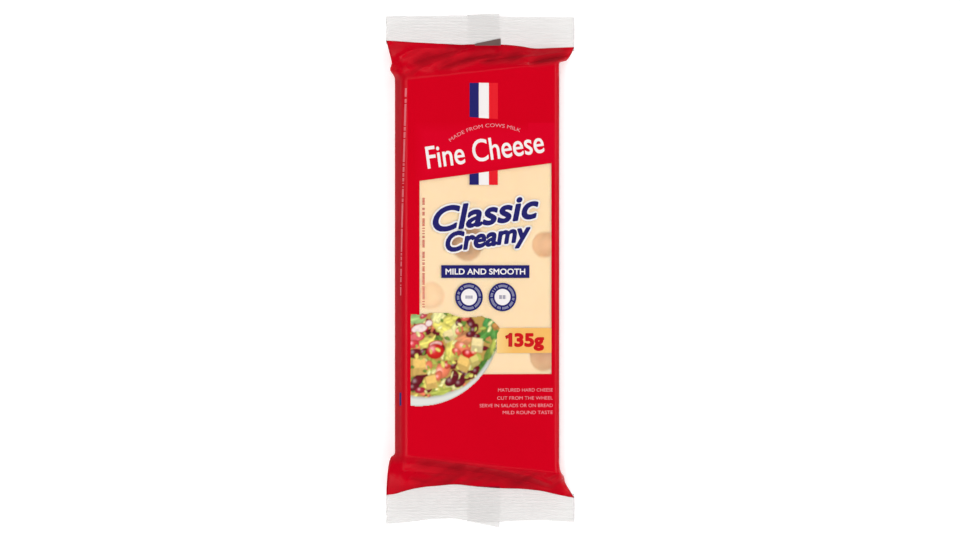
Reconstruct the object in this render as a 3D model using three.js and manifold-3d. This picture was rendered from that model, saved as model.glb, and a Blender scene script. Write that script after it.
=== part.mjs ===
// A flow-wrapped block of holed cheese, lying on its back. Both cut ends of the block slant, so
// that it is longer down its right-hand side, as a slab cut from a wheel is.
// One web of film is folded round the block into a tube, joined along the back by a fin seal
// that is folded flat, and crimped shut at both ends, where it tapers down from the block.
//
// Millimetres. +Z is up, +Y points to the top of the pack and +X to its right-hand side, seen
// from above. The origin is under the middle of the pack, on the surface that it lies on.

import * as THREE from "three";
import { ConvexGeometry } from "three/addons/geometries/ConvexGeometry.js";
import { LoftGeometry } from "three/addons/geometries/LoftGeometry.js";
import { mergeVertices } from "three/addons/utils/BufferGeometryUtils.js";
import Module from "manifold-3d";

// Cheese block
const BLOCK_WIDTH = 66;
const BLOCK_LEFT_LENGTH = 154;
const BLOCK_RIGHT_LENGTH = 170;
const BLOCK_THICKNESS = 12;
const BLOCK_EDGE_RADIUS = 1.6;

// Film
const FILM_THICKNESS = 0.1;
const FILM_CLEARANCE = 0.3; // air between the block and the film on every side
const FILM_EASE = 1; // how much wider the tube lies flat than it fits round the block
const FIN_WIDTH = 11; // from the seam to the fin's free edge
const FIN_SEAM_X = -4; // where the fin leaves the back of the tube
const FIN_BED_MARGIN = 1; // how far the flat strip that the fin lies on reaches past it

// Ends
const TAPER_LENGTH = 6; // from the film at the block's longer side to the crimp
const SEAL_DEPTH = 13.5; // length of film in each crimped end
const SEAL_HEIGHT = 5.5; // middle of the crimp above the table
const CRIMP_MARGIN = 0.9; // plain film before the first rib and after the last
const RIB_PITCH = 1.3;
const RIB_RISE = 0.5; // from the crest of a rib to its valley
const JOINT_GAP = 0.3; // left between the sleeve and each end seal

// How finely the curves are divided
const CORNER_STEPS = 6;
const TAPER_STEPS = 6;
const FLAT_STEPS = 12;
const RIB_STEPS = 8;
const BLOCK_CORNER_SEGMENTS = [16, 12];
const EYE_SEGMENTS = [22, 14];

// Holes in the cheese, each a round bowl of `mouth` radius and `depth` sunk in one face.
// `at` is the middle of the mouth, from the middle of the block.
const EYES = [
  { face: "front", at: [-5.8, 10.4], mouth: 7.4, depth: 5.2 },
  { face: "front", at: [27.4, 9.6], mouth: 5.6, depth: 4.0 },
  { face: "front", at: [27.0, -36.6], mouth: 6.3, depth: 4.6 },
  { face: "front", at: [-21.2, -11.6], mouth: 6.0, depth: 3.6 },
  { face: "front", at: [9.5, 55.0], mouth: 5.0, depth: 4.2 },
  { face: "front", at: [-22.0, 44.0], mouth: 4.2, depth: 3.4 },
  { face: "front", at: [-9.0, -52.0], mouth: 6.4, depth: 4.4 },
  { face: "front", at: [16.0, -66.0], mouth: 3.6, depth: 2.8 },
  { face: "back", at: [12.0, 28.0], mouth: 6.0, depth: 4.2 },
  { face: "back", at: [-16.0, 62.0], mouth: 5.2, depth: 3.6 },
  { face: "back", at: [17.0, -20.0], mouth: 4.6, depth: 3.0 },
  { face: "back", at: [-18.0, -34.0], mouth: 6.6, depth: 4.0 },
  { face: "left", at: [22.0, 0.6], mouth: 3.4, depth: 3.2 },
  { face: "left", at: [-48.0, -0.8], mouth: 3.0, depth: 2.6 },
  { face: "right", at: [45.0, 0.4], mouth: 3.6, depth: 3.4 },
  { face: "top", at: [-14.0, 0.5], mouth: 3.2, depth: 2.8 },
  { face: "bottom", at: [8.0, -0.6], mouth: 2.8, depth: 2.4 },
];

// What follows from those sizes
const SKIN = FILM_CLEARANCE + FILM_THICKNESS; // from the block to the outside of the film
const FIN_THICKNESS = 2 * FILM_THICKNESS;
const FIN_EDGES = [FIN_SEAM_X, FIN_SEAM_X + FIN_WIDTH];
const FIN_MIDDLE_X = FIN_SEAM_X + FIN_WIDTH / 2;
const BODY_HALF_WIDTH = BLOCK_WIDTH / 2 + SKIN;
const BODY_HALF_HEIGHT = BLOCK_THICKNESS / 2 + SKIN;
const BLOCK_LONGEST = Math.max(BLOCK_LEFT_LENGTH, BLOCK_RIGHT_LENGTH);
const SEAL_START = BLOCK_LONGEST / 2 + SKIN + TAPER_LENGTH;
const BODY_CORNER_RADIUS = BLOCK_EDGE_RADIUS + SKIN;
const BODY_CENTRE_Z = FIN_THICKNESS + BODY_HALF_HEIGHT;
const SLIT_HALF_HEIGHT = FILM_CLEARANCE / 2 + FILM_THICKNESS;

// A rounded corner saves this share of its radius from the width plus height of its quarter.
const CORNER_SAVING = 2 - Math.PI / 2;
const QUARTER_GIRTH = BODY_HALF_WIDTH + BODY_HALF_HEIGHT - CORNER_SAVING * BODY_CORNER_RADIUS;
const SEAL_HALF_WIDTH = QUARTER_GIRTH + FILM_EASE / 2;

// Half the block's length at this distance to the right of its middle.
function halfLengthAt(x) {
  const share = x / BLOCK_WIDTH + 0.5;
  return THREE.MathUtils.lerp(BLOCK_LEFT_LENGTH, BLOCK_RIGHT_LENGTH, share) / 2;
}

const wasm = await Module();
wasm.setup();

// A closed three.js geometry as a solid that can be joined and cut.
function solidOf(geometry) {
  const bare = new THREE.BufferGeometry().setIndex(geometry.index);
  bare.setAttribute("position", geometry.getAttribute("position"));
  const merged = mergeVertices(bare, 1e-4);
  const mesh = new wasm.Mesh({
    numProp: 3,
    vertProperties: merged.attributes.position.array,
    triVerts: new Uint32Array(merged.index.array),
  });
  mesh.merge();
  return new wasm.Manifold(mesh);
}

// The solid's surface as a three.js geometry.
function geometryOf(solid) {
  const mesh = solid.getMesh();
  const geometry = new THREE.BufferGeometry();
  geometry.setAttribute("position", new THREE.BufferAttribute(mesh.vertProperties, 3));
  geometry.setIndex(new THREE.BufferAttribute(mesh.triVerts, 1));
  geometry.computeVertexNormals();
  return geometry;
}

// A side view of [y, z] points, extruded from x0 to x1.
function slabAcross(points, x0, x1) {
  const outline = new THREE.Shape(points.map(([y, z]) => new THREE.Vector2(y, z)));
  const slab = new THREE.ExtrudeGeometry(outline, { depth: x1 - x0, bevelEnabled: false });
  const sideView = new THREE.Matrix4().makeBasis(
    new THREE.Vector3(0, 1, 0),
    new THREE.Vector3(0, 0, 1),
    new THREE.Vector3(1, 0, 0),
  );
  return slab.applyMatrix4(sideView).translate(x0, 0, 0);
}

// ---- Cheese block ----

// Each face's outward direction, and the point on it that `at` stands for.
const FACES = {
  front: { out: [0, 0, 1], point: (u, v) => [u, v, BLOCK_THICKNESS / 2] },
  back: { out: [0, 0, -1], point: (u, v) => [u, v, -BLOCK_THICKNESS / 2] },
  left: { out: [-1, 0, 0], point: (u, v) => [-BLOCK_WIDTH / 2, u, v] },
  right: { out: [1, 0, 0], point: (u, v) => [BLOCK_WIDTH / 2, u, v] },
  top: { out: [0, 1, 0], point: (u, v) => [u, halfLengthAt(u), v] },
  bottom: { out: [0, -1, 0], point: (u, v) => [u, -halfLengthAt(u), v] },
};

// The sphere that leaves a bowl of this mouth and depth in its face.
function eyeSphere({ face, at, mouth, depth }) {
  const radius = (mouth ** 2 + depth ** 2) / (2 * depth);
  const { out, point } = FACES[face];
  const centre = new THREE.Vector3(...out).multiplyScalar(radius - depth);
  centre.add(new THREE.Vector3(...point(...at)));
  return new THREE.SphereGeometry(radius, ...EYE_SEGMENTS).translate(...centre);
}

// The slab before its holes: what eight balls, one in each corner, span between them.
function plainBlock() {
  const ball = new THREE.SphereGeometry(BLOCK_EDGE_RADIUS, ...BLOCK_CORNER_SEGMENTS);
  const surface = ball.getAttribute("position");
  const points = [];
  for (const corner of [0, 1, 2, 3, 4, 5, 6, 7]) {
    const [right, up, front] = [1, 2, 4].map((bit) => (corner & bit ? 1 : -1));
    const x = right * (BLOCK_WIDTH / 2 - BLOCK_EDGE_RADIUS);
    const y = up * (halfLengthAt(x) - BLOCK_EDGE_RADIUS);
    const z = front * (BLOCK_THICKNESS / 2 - BLOCK_EDGE_RADIUS);
    for (let index = 0; index < surface.count; index += 1) {
      points.push(new THREE.Vector3().fromBufferAttribute(surface, index).add({ x, y, z }));
    }
  }
  return new ConvexGeometry(points);
}

function cheeseBlock() {
  const eyes = EYES.map((eye) => solidOf(eyeSphere(eye)));
  return geometryOf(eyes.reduce((block, eye) => block.subtract(eye), solidOf(plainBlock())));
}

// ---- Film sleeve ----

// The tube's shape at a share of the way from the block (0) to the crimp (1): outer sizes.
function sleeveShape(share) {
  const halfHeight = THREE.MathUtils.lerp(BODY_HALF_HEIGHT, SLIT_HALF_HEIGHT, share);
  const radius = Math.min(BODY_CORNER_RADIUS, halfHeight);
  const ease = (FILM_EASE / 2) * share;
  return {
    halfWidth: QUARTER_GIRTH + ease - halfHeight + CORNER_SAVING * radius,
    halfHeight,
    radius,
    centreZ: THREE.MathUtils.lerp(BODY_CENTRE_Z, SEAL_HEIGHT, share),
  };
}

// How far along the tube a point of a ring is: end is +1 at the top and -1 at the bottom.
function alongSleeve(x, { end, share }) {
  const blockX = THREE.MathUtils.clamp(x, -BODY_HALF_WIDTH, BODY_HALF_WIDTH);
  return end * THREE.MathUtils.lerp(halfLengthAt(blockX) + SKIN, SEAL_START, share);
}

// One ring round the tube, `inset` inside its outer face. Along its back it has a point just
// past each edge of the fin, level with the fin's middle, so that the fin lies flat on it.
function sleeveRing(station, inset) {
  const { halfWidth, halfHeight, radius, centreZ } = sleeveShape(station.share);
  const cornerRadius = radius - inset;
  const cornerX = halfWidth - radius;
  const cornerZ = halfHeight - radius;
  const ring = [];
  const push = (x, z, levelX = x) => {
    ring.push(new THREE.Vector3(x, alongSleeve(levelX, station), z));
  };
  const pushBetween = (fromX, toX, z, steps) => {
    for (let step = 1; step < steps; step += 1) {
      push(THREE.MathUtils.lerp(fromX, toX, step / steps), z);
    }
  };
  for (let corner = 0; corner < 4; corner += 1) {
    const signX = corner === 0 || corner === 3 ? -1 : 1;
    const signZ = corner < 2 ? 1 : -1;
    for (let step = 0; step <= CORNER_STEPS; step += 1) {
      const angle = ((corner + step / CORNER_STEPS) * Math.PI) / 2;
      const x = signX * cornerX - Math.cos(angle) * cornerRadius;
      push(x, centreZ + signZ * cornerZ + Math.sin(angle) * cornerRadius);
    }
    if (corner === 0) {
      pushBetween(-cornerX, cornerX, centreZ + halfHeight - inset, FLAT_STEPS);
    }
    if (corner === 2) {
      const back = centreZ - halfHeight + inset;
      const [bedLeft, bedRight] = [FIN_EDGES[0] - FIN_BED_MARGIN, FIN_EDGES[1] + FIN_BED_MARGIN];
      pushBetween(cornerX, bedRight, back, FLAT_STEPS / 2);
      push(bedRight, back, FIN_MIDDLE_X);
      push(bedLeft, back, FIN_MIDDLE_X);
      pushBetween(bedLeft, -cornerX, back, FLAT_STEPS / 2);
    }
  }
  return ring;
}

// The stations along the sleeve, from the bottom crimp to the top one.
function sleeveStations() {
  const stations = [];
  for (let step = 0; step <= TAPER_STEPS; step += 1) {
    stations.push({ end: 1, share: step / TAPER_STEPS });
  }
  const bottom = stations.map(({ share }) => ({ end: -1, share })).reverse();
  return [...bottom, ...stations];
}

// The tube, open at each end in the slit where its two layers meet the crimp.
function sleeveTube(stations) {
  const outside = stations.map((station) => sleeveRing(station, 0));
  const inside = stations.map((station) => sleeveRing(station, FILM_THICKNESS)).reverse();
  return new LoftGeometry([...outside, ...inside, outside[0]]);
}

// The folded fin: a double strip under the tube that follows its underside.
function sleeveFin(stations) {
  const sections = stations.map((station) => {
    const { centreZ, halfHeight } = sleeveShape(station.share);
    const back = centreZ - halfHeight;
    const y = alongSleeve(FIN_MIDDLE_X, station);
    const [top, bottom] = [back + FILM_THICKNESS / 2, back - FIN_THICKNESS];
    return [
      new THREE.Vector3(FIN_EDGES[0], y, top),
      new THREE.Vector3(FIN_EDGES[1], y, top),
      new THREE.Vector3(FIN_EDGES[1], y, bottom),
      new THREE.Vector3(FIN_EDGES[0], y, bottom),
    ];
  });
  return new LoftGeometry(sections, { capStart: true, capEnd: true });
}

function filmSleeve() {
  const stations = sleeveStations();
  return geometryOf(solidOf(sleeveTube(stations)).add(solidOf(sleeveFin(stations))));
}

// ---- End seals ----

// Side view of the crimp, [distance from its start, height of its middle].
function crimpLine() {
  const ribs = Math.floor((SEAL_DEPTH - 2 * CRIMP_MARGIN) / RIB_PITCH);
  const start = (SEAL_DEPTH - ribs * RIB_PITCH) / 2;
  const line = [[0, SEAL_HEIGHT]];
  for (let step = 0; step <= ribs * RIB_STEPS; step += 1) {
    const turn = (step / RIB_STEPS) * 2 * Math.PI;
    const rise = (RIB_RISE / 2) * Math.sin(turn);
    line.push([start + (step / RIB_STEPS) * RIB_PITCH, SEAL_HEIGHT + rise]);
  }
  line.push([SEAL_DEPTH, SEAL_HEIGHT]);
  return line;
}

// A crimped strip across the end on one side (+1 top, -1 bottom), with the fin's two layers under it.
function endSeal(side) {
  const startY = SEAL_START + JOINT_GAP;
  const line = crimpLine().map(([along, z]) => [side * (startY + along), z]);
  const band = (low, high) => [
    ...line.map(([y, z]) => [y, z + low]),
    ...line.map(([y, z]) => [y, z + high]).reverse(),
  ];
  const layers = slabAcross(
    band(-FILM_THICKNESS, FILM_THICKNESS),
    -SEAL_HALF_WIDTH,
    SEAL_HALF_WIDTH,
  );
  const fin = slabAcross(band(-FILM_THICKNESS - FIN_THICKNESS, 0), ...FIN_EDGES);
  return geometryOf(solidOf(layers).add(solidOf(fin)));
}

// ---- Assembly ----

const cheese = new THREE.MeshStandardMaterial({ color: 0xf2dda4, roughness: 0.55 });
const printedFilm = new THREE.MeshStandardMaterial({ color: 0xd60021, roughness: 0.3 });
const clearFilm = new THREE.MeshStandardMaterial({
  color: 0xe9e7e4,
  roughness: 0.35,
  transparent: true,
  opacity: 0.6,
});

function named(name, geometry, material) {
  const mesh = new THREE.Mesh(geometry, material);
  mesh.name = name;
  return mesh;
}

const pack = new THREE.Group();
const block = named("cheese_block", cheeseBlock(), cheese);
block.position.z = BODY_CENTRE_Z;
pack.add(block);
pack.add(named("film_sleeve", filmSleeve(), printedFilm));
pack.add(named("top_end_seal", endSeal(1), clearFilm));
pack.add(named("bottom_end_seal", endSeal(-1), clearFilm));

export default pack;
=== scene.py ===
"""A flow-wrapped block of cheese, lying on its back and seen from above.

The cheese, the film that is folded round it and the film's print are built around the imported
frame. Lengths are in millimetres until a mesh is made; +Z is up and +Y points to the pack's top.
"""

import math

import bmesh
import bpy
import numpy as np
from mathutils import Matrix, Vector, geometry


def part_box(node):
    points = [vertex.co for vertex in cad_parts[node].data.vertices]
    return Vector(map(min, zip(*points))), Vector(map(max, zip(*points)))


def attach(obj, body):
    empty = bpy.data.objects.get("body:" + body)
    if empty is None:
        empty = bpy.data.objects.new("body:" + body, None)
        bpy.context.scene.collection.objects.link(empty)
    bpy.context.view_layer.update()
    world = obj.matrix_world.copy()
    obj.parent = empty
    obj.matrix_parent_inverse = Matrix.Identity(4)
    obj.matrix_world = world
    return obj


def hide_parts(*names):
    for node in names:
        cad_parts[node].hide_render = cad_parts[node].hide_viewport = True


MM = 0.001

# ---- Driving values, in millimetres ----

FILM_THICKNESS = 0.1
FILM_CLEARANCE = 0.3
SKIN = FILM_THICKNESS + FILM_CLEARANCE  # from the block to the outside of the film
FILM_CORNER_RADIUS = 2.4
SIDE_BULGE = 1.1  # of the film, beyond the block's long sides
BULGE_HEIGHT = -0.35  # of its widest line, as a share of the half height
SLIT_HALF_HEIGHT = 0.12  # of the sleeve where it closes on the seals
END_SLANT = 0.1212  # how much further the block's ends reach per millimetre to the right
SEAL_DEPTH = 13.5
SEAL_SPREAD = 1.018  # the film lies a little wider here than the plain seals do
SEAL_SHIFT = 1.5  # the seals lie this far to the right of the block's middle
RIB_PITCH = 1.3
FIN_SEAM_X = -4.0
FIN_WIDTH = 11.0

BODY_ROW_STEP = 1.0
TAPER_ROWS = 30
FLAT_STEP = 1.0
CORNER_COLUMNS = 7

# Camera
CAMERA_DISTANCE = 3000.0
CAMERA_TURN = math.radians(14)  # to the pack's left
CAMERA_TARGET = (-0.6, -1.0)
VIEW_WIDTH = 397.0  # of the plane through the target that fills the picture's width
SENSOR_WIDTH = 36.0

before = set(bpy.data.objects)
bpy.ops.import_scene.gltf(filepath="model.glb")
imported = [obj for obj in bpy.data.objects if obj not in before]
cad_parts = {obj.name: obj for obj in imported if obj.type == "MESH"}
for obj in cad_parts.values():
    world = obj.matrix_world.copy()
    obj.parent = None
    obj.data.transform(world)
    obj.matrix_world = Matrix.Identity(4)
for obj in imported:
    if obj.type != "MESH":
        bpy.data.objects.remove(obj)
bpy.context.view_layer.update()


def corners_mm(node):
    low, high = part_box(node)
    return [value / MM for value in low], [value / MM for value in high]


BLOCK_LOW, BLOCK_HIGH = corners_mm("cheese_block")
SEAL_LOW, SEAL_HIGH = corners_mm("top_end_seal")

HALF_WIDTH = BLOCK_HIGH[0] + SKIN
TOP_Z = BLOCK_HIGH[2] + SKIN
BACK_Z = BLOCK_LOW[2] - SKIN
HALF_HEIGHT = (TOP_Z - BACK_Z) / 2
CENTRE_Z = (TOP_Z + BACK_Z) / 2
SEAL_Z = (SEAL_LOW[2] + SEAL_HIGH[2]) / 2
SEAL_HALF_WIDTH = SEAL_HIGH[0] * SEAL_SPREAD
RIGHT_REACH = BLOCK_HIGH[1]  # of the block's right-hand corners


def half_length(x):
    """How far the block reaches along the pack at this distance to the right."""
    return RIGHT_REACH + END_SLANT * (x - BLOCK_HIGH[0])


# ---- Camera, floor and lights ----


def place(name, data):
    """A new object in the scene that holds this data."""
    thing = bpy.data.objects.new(name, data)
    bpy.context.scene.collection.objects.link(thing)
    return thing


def make_camera():
    data = bpy.data.cameras.new("camera")
    data.sensor_width = SENSOR_WIDTH
    data.lens = SENSOR_WIDTH * CAMERA_DISTANCE / VIEW_WIDTH
    data.dof.use_dof = False
    camera = place("camera", data)
    turn = Matrix.Rotation(-CAMERA_TURN, 4, "Y")
    target = Vector((*CAMERA_TARGET, TOP_Z)) * MM
    back = Matrix.Translation((0, 0, CAMERA_DISTANCE * MM))
    camera.matrix_world = Matrix.Translation(target) @ turn @ back
    bpy.context.scene.camera = camera


def make_floor(material):
    size = 3.0
    corners = [(-size, -size, 0), (size, -size, 0), (size, size, 0), (-size, size, 0)]
    mesh = bpy.data.meshes.new("floor")
    mesh.from_pydata(corners, [], [(0, 1, 2, 3)])
    mesh.materials.append(material)
    place("floor", mesh)


# Soft boxes: angle from +X towards +Y, angle above the floor, distance, size in metres, power
LIGHTS = (
    ("left", 180, 62, 1.4, (1.5, 0.7), 14),
    ("right", 0, 40, 1.4, (1.5, 0.6), 11),
    ("top", 90, 48, 1.5, (1.4, 0.5), 5),
    ("low", 270, 48, 1.5, (1.4, 0.5), 5),
)
WORLD_STRENGTH = 0.05


def make_light(name, azimuth, elevation, distance, size, power):
    data = bpy.data.lights.new(name, "AREA")
    data.shape = "RECTANGLE"
    data.size, data.size_y = size
    data.energy = power
    light = place(name, data)
    a, e = math.radians(azimuth), math.radians(elevation)
    away = Vector((math.cos(a) * math.cos(e), math.sin(a) * math.cos(e), math.sin(e)))
    light.location = away * distance
    light.rotation_mode = "QUATERNION"
    light.rotation_quaternion = away.to_track_quat("Z", "Y")


def make_world():
    world = bpy.data.worlds.new("studio")
    world.use_nodes = True
    background = world.node_tree.nodes["Background"]
    background.inputs["Color"].default_value = (1, 1, 1, 1)
    background.inputs["Strength"].default_value = WORLD_STRENGTH
    bpy.context.scene.world = world


# ---- Shader helpers ----


def linear(red, green, blue):
    """A colour given as 0 to 255 sRGB, as the shader's linear one."""

    def one(value):
        v = value / 255
        return v / 12.92 if v <= 0.04045 else ((v + 0.055) / 1.055) ** 2.4

    return (one(red), one(green), one(blue), 1.0)


def add_node(tree, kind, *inputs, **settings):
    """A new shader node. Its first inputs get these values or sockets; None leaves one as it is."""
    node = tree.nodes.new("ShaderNode" + kind)
    for name, value in settings.items():
        setattr(node, name, value)
    for socket, value in zip(node.inputs, inputs):
        if isinstance(value, bpy.types.NodeSocket):
            tree.links.new(value, socket)
        elif value is not None:
            socket.default_value = value
    return node


class Field:
    """A number that varies over a surface; arithmetic on it adds Math nodes."""

    def __init__(self, tree, socket):
        self.tree, self.socket = tree, socket

    def _math(self, operation, *others, clamp=False):
        values = [v.socket if isinstance(v, Field) else v for v in (self, *others)]
        node = add_node(self.tree, "Math", *values, operation=operation, use_clamp=clamp)
        return Field(self.tree, node.outputs[0])

    def __add__(self, other):
        return self._math("ADD", other)

    def __sub__(self, other):
        return self._math("SUBTRACT", other)

    def __mul__(self, other):
        return self._math("MULTIPLY", other)

    def abs(self):
        return self._math("ABSOLUTE")

    def floor(self):
        return self._math("FLOOR")

    def fract(self):
        return self._math("FRACT")

    def sqrt(self):
        return self._math("SQRT")

    def maximum(self, other):
        return self._math("MAXIMUM", other)

    def minimum(self, other):
        return self._math("MINIMUM", other)

    def arctan(self, other):
        return self._math("ARCTAN2", other)

    def above(self, limit):
        return self._math("GREATER_THAN", limit)

    def clamped(self):
        return self._math("ADD", 0.0, clamp=True)


def inside(distance, softness=0.08):
    """1 where a signed distance is below 0 and 0 above, with a soft edge."""
    return (distance * (-1 / softness) + 0.5).clamped()


def rectangle(x, y, left, right, bottom, top):
    across = (x - (left + right) / 2).abs() - (right - left) / 2
    along = (y - (bottom + top) / 2).abs() - (top - bottom) / 2
    return across.maximum(along)


def circle(x, y, centre, radius):
    dx, dy = x - centre[0], y - centre[1]
    return (dx * dx + dy * dy).sqrt() - radius


FIRST_MIX_COLOUR = 6  # the Mix node's input with the first of its two colours


class Layers:
    """Colours laid over each other on a surface, from its ground colour up."""

    def __init__(self, tree, ground):
        self.tree, self.colour = tree, ground

    def paint(self, mask, colour):
        colours = (self.colour, colour)
        unused = [None] * (FIRST_MIX_COLOUR - 1)
        node = add_node(self.tree, "Mix", mask.socket, *unused, *colours, data_type="RGBA")
        self.colour = node.outputs[2]


class Sheet(Layers):
    """The print on a film, laid out in the film's flat coordinates."""

    def __init__(self, tree, ground):
        super().__init__(tree, ground)
        uv = add_node(tree, "UVMap", uv_map="print")
        split = add_node(tree, "SeparateXYZ", uv.outputs[0])
        self.x = Field(tree, split.outputs[0]) * UV_MM
        self.y = Field(tree, split.outputs[1]) * UV_MM

    def block(self, box, softness=0.08):
        """The mask of a box, given as its left, right, bottom and top."""
        return inside(rectangle(self.x, self.y, *box), softness)

    def small_print(self, x, y, box, line, height, share, cell, seed):
        """The mask of short marks in a box, as small text looks from afar.

        line is the pitch of the rows and height their own; share of the cells are marked.
        """
        left, right, bottom, top = box
        area = inside(rectangle(x, y, left, right, bottom, top))
        row = (y - bottom) * (1 / line)
        in_row = (row.fract() - 0.5).abs() * line
        column = (x - left) * (1 / cell)
        cell_corner = (column.floor().socket, (row.floor() + seed).socket)
        joined = add_node(self.tree, "CombineXYZ", *cell_corner)
        white = add_node(self.tree, "TexWhiteNoise", joined.outputs[0], noise_dimensions="2D")
        marked = Field(self.tree, white.outputs["Value"]).above(1 - share)
        in_column = inside((column.fract() - 0.5).abs() * cell - cell * 0.4)
        return area * marked * in_column * inside(in_row - height / 2)


def new_material(name):
    material = bpy.data.materials.new(name)
    material.use_nodes = True
    tree = material.node_tree
    shader = tree.nodes["Principled BSDF"]
    return material, tree, shader


def set_values(shader, **values):
    for key, value in values.items():
        shader.inputs[key.replace("_", " ")].default_value = value


def noise(tree, scale, detail=3.0, roughness=0.6):
    spot = add_node(tree, "TexCoord").outputs["Object"]
    node = add_node(tree, "TexNoise", spot, None, scale, detail, roughness)
    return Field(tree, node.outputs[0])


def bump(tree, shader, height, distance, strength):
    node = tree.nodes.new("ShaderNodeBump")
    node.inputs["Distance"].default_value = distance
    node.inputs["Strength"].default_value = strength
    tree.links.new(height.socket, node.inputs["Height"])
    tree.links.new(node.outputs[0], shader.inputs["Normal"])


# ---- Print layout, in the film's flat coordinates ----

UV_MM = 100.0  # millimetres to one unit of the print's UV map
LIGHT_LEVEL = 1.2  # of the studio light on a level surface, so the inks are darker by as much


def ink(red, green, blue):
    """The ink that looks like this sRGB colour in the studio light."""
    return (*(value / LIGHT_LEVEL for value in linear(red, green, blue)[:3]), 1.0)


RED = ink(215, 0, 29)
RED_DEEP = ink(207, 0, 24)
# a darker red, painted as shade in the folds and on the side faces; it also darkens the film behind the
# registration mark
DARK_RED = ink(148, 0, 18)
RED_BANNER = ink(221, 2, 37)
CLEAR_HAZE = ink(250, 244, 236)
NAVY = ink(40, 38, 108)
WHITE = ink(250, 244, 242)
STRIPE_RED = ink(237, 35, 46)
ORANGE = ink(252, 192, 106)
ORANGE_PALE = ink(255, 214, 138)
WEIGHT_RED = ink(212, 26, 32)
PALE_PINK = ink(246, 160, 168)
RING_MARKS = ink(206, 206, 226)
TEXT_ORANGE = ink(232, 110, 96)
BACK_PALE, BACK_GREY = ink(247, 236, 230), ink(92, 80, 86)
LOW_MARK_COLOUR = linear(70, 10, 40)

WINDOW_LEFT, WINDOW_RIGHT, WINDOW_BOTTOM = -26.3, 29.9, -44.1
BANNER_SLOPE = 0.134
BANNER_EDGE_Y = 39.3  # where the banner's lower edge crosses the middle of the front
BANNER_RIGHT = 31.2
RIBBON_X = (-5.1, -1.1, 3.2, 7.0)
RIBBON_TOP, RIBBON_BOTTOM = 76.4, 34.2
BANNER_TOP, BANNER_TOP_SLOPE = 61.9, 0.06  # where it hides the ribbon
BANNER_TIP = (20.0, BANNER_RIGHT, 40.0, 60.0)
BAR = (-17.1, 20.5, -4.3, 1.0)
BADGES = ((-5.3, -12.2), (9.0, -12.2))
BADGE_RADIUS, BADGE_HOLE = 5.9, 3.4
BADGE_SIGN_BOX = (-1.6, 1.6, -0.8, 0.8)
BADGE_SIGNS = ((1.3, 0.8), (1.8, 1.5))  # height and pitch of the marks in each badge's middle
WEIGHT_PANEL = (6.6, 29.9, -35.4, -25.0)
PANEL_FADE = 7.0  # from its left edge to its full colour
HIDDEN_FOLD = (-14.0, 8.0, 89.4, 94.0)  # the darker film behind the registration mark
LOW_MARK = (-2.6, 8.0, -91.9, -90.7)  # a thin dark mark where the print ends
SIDE_REACH, SIDE_END = 5.2, 79.0  # of the pack's side faces, painted darker as shade and duller, across and along them

# Small print as rows of short marks; the first two boxes stand on their sides
WINDOW_TEXT = (-17.6, 28.8, 23.8, 25.4)
EDGE_TEXT = (-12.0, 74.0, -0.45, 0.45)
EDGE_TEXT_LEAN, EDGE_TEXT_LEFT = 0.029, 34.2
EDGE_MARK = (-35.6, -34.0, -57.0, -51.6)
BACK_PANEL = (9.5, 29.5, -52.0, 50.0)
BACK_TEXTS = ((11.5, 27.5, -49.0, -14.0), (11.5, 27.5, -8.0, 30.0))
BACK_LABEL, BACK_LABEL_TEXT = (11.5, 27.5, 35.0, 46.0), (13.0, 26.0, 36.5, 44.5)

# Lettering: middle x, middle y, width and height of each box of words
RISE = 8  # degrees that the banner and the titles climb by
BANNER_WORDS = (1.5, 48.8, 50.4, 9.4)
TITLES = (
    ("title_one", "Classic", (1.8, 22.6, 46.0, 10.6)),
    ("title_two", "Creamy", (3.0, 11.6, 37.0, 10.8)),
)
TITLE_BOLD, TITLE_EDGE, TITLE_SHEAR = 0.45, 0.7, 0.3
BAR_WORDS = (1.7, -1.65, 34.0, 2.5)
WEIGHT_WORDS = (20.4, -30.8, 12.8, 7.5)
# The weight's first figure, from the middle of the letters that follow it
FIGURE_ONE = (
    (-8.9, -2.0), (-7.2, -2.0), (-7.2, 3.75), (-8.4, 3.75), (-9.0, 3.1), (-10.3, 2.5), (-9.9, 1.2),
    (-8.9, 1.55),
)
ARCH_WORDS, ARCH_RADIUS = (1.0, 58.6, 32.0, 1.5), 31.0
# Lines of words that end at one x: their middle y and width
LINES_RIGHT, LINES_HEIGHT = 30.5, 1.4
LINES = (
    ("line_one", "MATURED HARD CHEESE", -50.7, 23.4),
    ("line_two", "CUT FROM THE WHEEL", -54.0, 23.8),
    ("line_three", "SERVE IN SALADS OR ON BREAD", -57.1, 31.2),
    ("line_four", "MILD ROUND TASTE", -60.0, 21.4),
)


# ---- Film shape ----


def smooth_curve(points, spread=2.5):
    """A function through given (x, y) points, straight between them with its bends eased."""
    xs, ys = zip(*points)
    offsets = np.linspace(-spread, spread, 9)

    def at(x):
        x = np.asarray(x, float)
        return np.mean([np.interp(x + offset, xs, ys) for offset in offsets], axis=0)

    return at


# Where the print ends and the clear seal starts, and the cut edges, as the film lies
PRINT_END = {
    1: smooth_curve(
        [(-39, 93.8), (-26, 93.1), (-9, 92.4), (-2, 92.6), (9.4, 92.6), (17, 92.0), (23, 90.9),
         (30, 91.3), (39.5, 91.7)]
    ),
    -1: smooth_curve(
        [(-40, -94.6), (-34, -92.9), (-29, -91.5), (-22, -90.7), (-10.5, -89.7), (-2, -90.8),
         (8.5, -91.6), (17, -91.8), (26, -92.7), (32, -94.2), (40, -95.8)]
    ),
}
CUT_EDGE = {
    1: smooth_curve([(-40, 103.9), (-12, 104.3), (0, 104.5), (9, 104.1), (39, 104.1)]),
    -1: smooth_curve(
        [(-40, -105.9), (-29, -105.1), (-22, -104.1), (-10.4, -103.8), (-4.5, -105.1),
         (8, -105.5), (13, -105.1), (26, -104.9), (39, -105.7)]
    ),
}


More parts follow.
